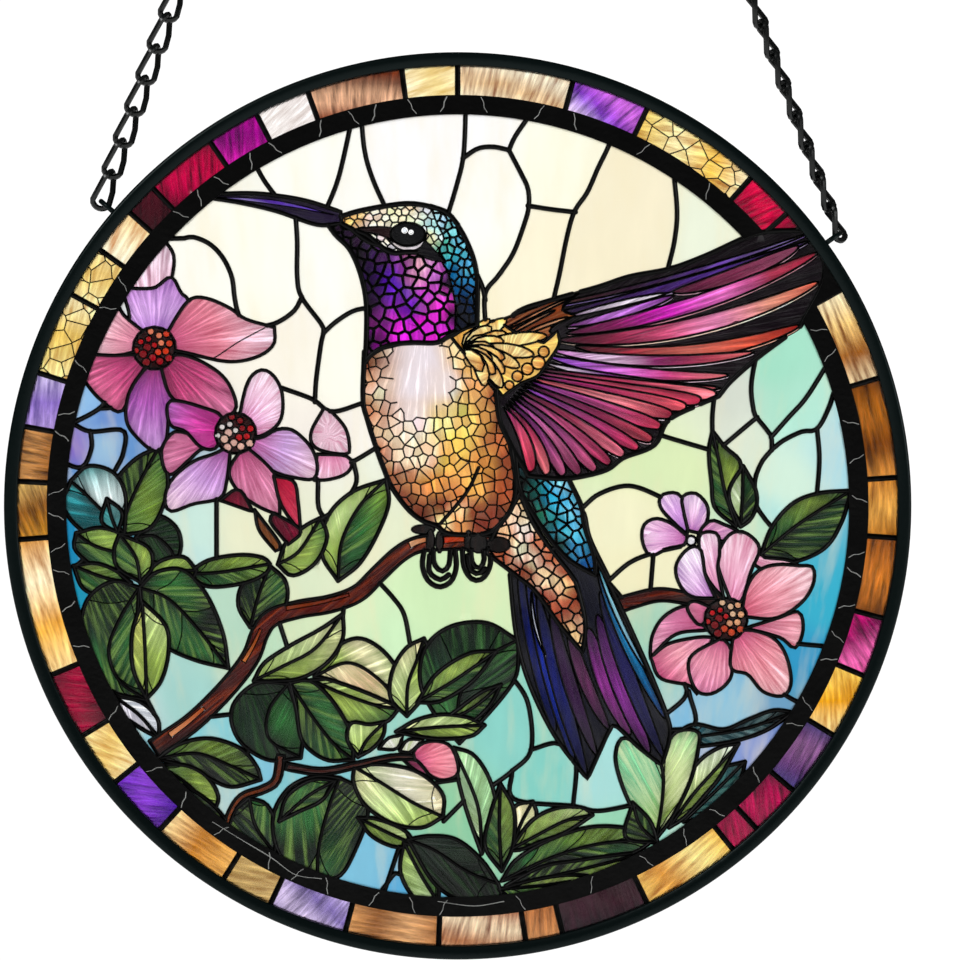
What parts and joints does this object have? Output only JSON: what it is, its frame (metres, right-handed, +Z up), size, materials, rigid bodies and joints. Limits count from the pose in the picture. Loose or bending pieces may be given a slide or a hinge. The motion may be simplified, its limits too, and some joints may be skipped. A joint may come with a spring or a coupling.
{
  "type": "stained glass suncatcher",
  "caption": "Round stained glass suncatcher with a hummingbird on a branch among blossoms, tile border, black metal rim and curb chains to a hanging ring.",
  "frame": {"origin": "the point of the hanging ring's inner top where a hook or pin carries it", "axes": "+X to the right seen from the front, +Y to the back through the glass, +Z up"},
  "size_m": [0.2, 0.007, 0.3944],
  "materials": {
    "black_rim": "satin black",
    "black_solder": "satin black",
    "black_chain": "satin black",
    "bird_head_glass": "opalescent, painted",
    "bird_body_glass": "opalescent, painted",
    "wing_glass": "streaky",
    "tail_glass": "streaky",
    "petal_glass": "streaky",
    "leaf_glass": "streaky",
    "branch_glass": "streaky",
    "cream_sky_glass": "wispy opalescent",
    "aqua_sky_glass": "wispy opalescent",
    "gold_tile_glass": "textured",
    "brown_tile_glass": "streaky",
    "ruby_tile_glass": "streaky",
    "violet_tile_glass": "streaky"
  },
  "bodies": {
    "root": {"rim": "black_rim", "solder_lines": "black_solder", "glass_bird_head": "bird_head_glass", "glass_bird_wing": "wing_glass", "glass_bird_body": "bird_body_glass", "glass_bird_tail": "tail_glass", "glass_blossom_left": "petal_glass", "glass_blossom_middle": "petal_glass", "glass_blossom_right": "petal_glass", "glass_leaves_right": "leaf_glass", "glass_branch": "branch_glass", "glass_leaves_left": "leaf_glass", "glass_leaves_branch": "leaf_glass", "glass_leaves_middle": "leaf_glass", "glass_leaves_low": "leaf_glass", "glass_sky_top": "cream_sky_glass", "glass_sky_left": "cream_sky_glass", "glass_sky_edge": "aqua_sky_glass", "glass_sky_branch": "aqua_sky_glass", "glass_sky_low_left": "aqua_sky_glass", "glass_sky_low_right": "aqua_sky_glass", "glass_sky_right": "aqua_sky_glass", "tile_01_cream_streak": "brown_tile_glass", "tile_02_magenta": "ruby_tile_glass", "tile_03_gold": "gold_tile_glass", "tile_04_ruby": "ruby_tile_glass", "tile_05_cream_brown": "gold_tile_glass", "tile_06_brown": "brown_tile_glass", "tile_07_tan": "brown_tile_glass", "tile_08_rust": "brown_tile_glass", "tile_09_pink": "ruby_tile_glass", "tile_10_gold": "gold_tile_glass", "tile_11_plum": "violet_tile_glass", "tile_12_ruby": "ruby_tile_glass", "tile_13_amber_streak": "brown_tile_glass", "tile_14_maroon": "ruby_tile_glass", "tile_15_umber": "brown_tile_glass", "tile_16_red_brown": "brown_tile_glass", "tile_17_tan": "brown_tile_glass", "tile_18_violet_grey": "violet_tile_glass", "tile_19_khaki": "gold_tile_glass", "tile_20_amber_streak": "brown_tile_glass", "tile_21_purple": "violet_tile_glass", "tile_22_cream": "gold_tile_glass", "tile_23_ruby": "ruby_tile_glass", "tile_24_amber": "gold_tile_glass", "tile_25_mottled_gold": "brown_tile_glass", "tile_26_brown_streak": "brown_tile_glass", "tile_27_light_violet": "violet_tile_glass", "tile_28_gold_crackle": "gold_tile_glass", "tile_29_gold_crackle": "gold_tile_glass", "tile_30_cream": "gold_tile_glass", "tile_31_ruby": "ruby_tile_glass", "tile_32_magenta": "ruby_tile_glass", "tile_33_white": "gold_tile_glass", "tile_34_red_brown": "brown_tile_glass", "tile_35_cream": "gold_tile_glass", "hanging_ring": "black_chain", "chain_left": "black_chain", "chain_right": "black_chain"}
  },
  "joints": []
}
